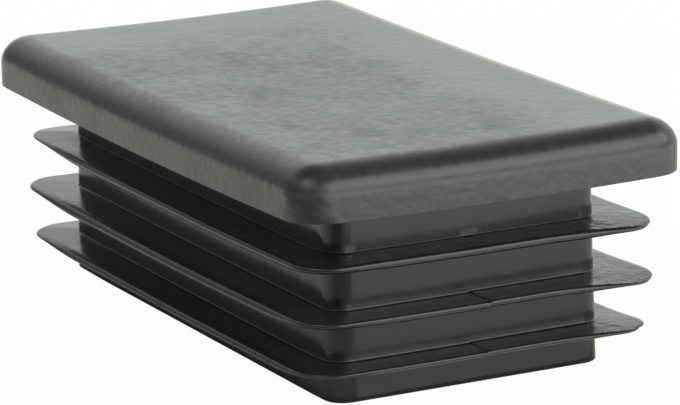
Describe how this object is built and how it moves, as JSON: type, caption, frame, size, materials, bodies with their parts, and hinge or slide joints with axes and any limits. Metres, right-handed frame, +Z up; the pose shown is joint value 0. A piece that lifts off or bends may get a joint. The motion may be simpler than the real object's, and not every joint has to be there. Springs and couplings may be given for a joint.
{
  "type": "tube end cap",
  "caption": "Black moulded plastic cap for the end of a rectangular tube: a thick soft-edged head on a hollow core with thin gripping fins all round.",
  "frame": {"origin": "centre of the core's open lower end, on the plane that the cap stands on", "axes": "+Z up through the head, +X along the long side of the head, +Y along its short side"},
  "size_m": [0.07, 0.04, 0.0236],
  "materials": {
    "black_polyethylene": "as moulded: fine matt grain on the head, smoother on the core and fins"
  },
  "bodies": {
    "root": {"end_cap": "black_polyethylene"}
  },
  "joints": []
}
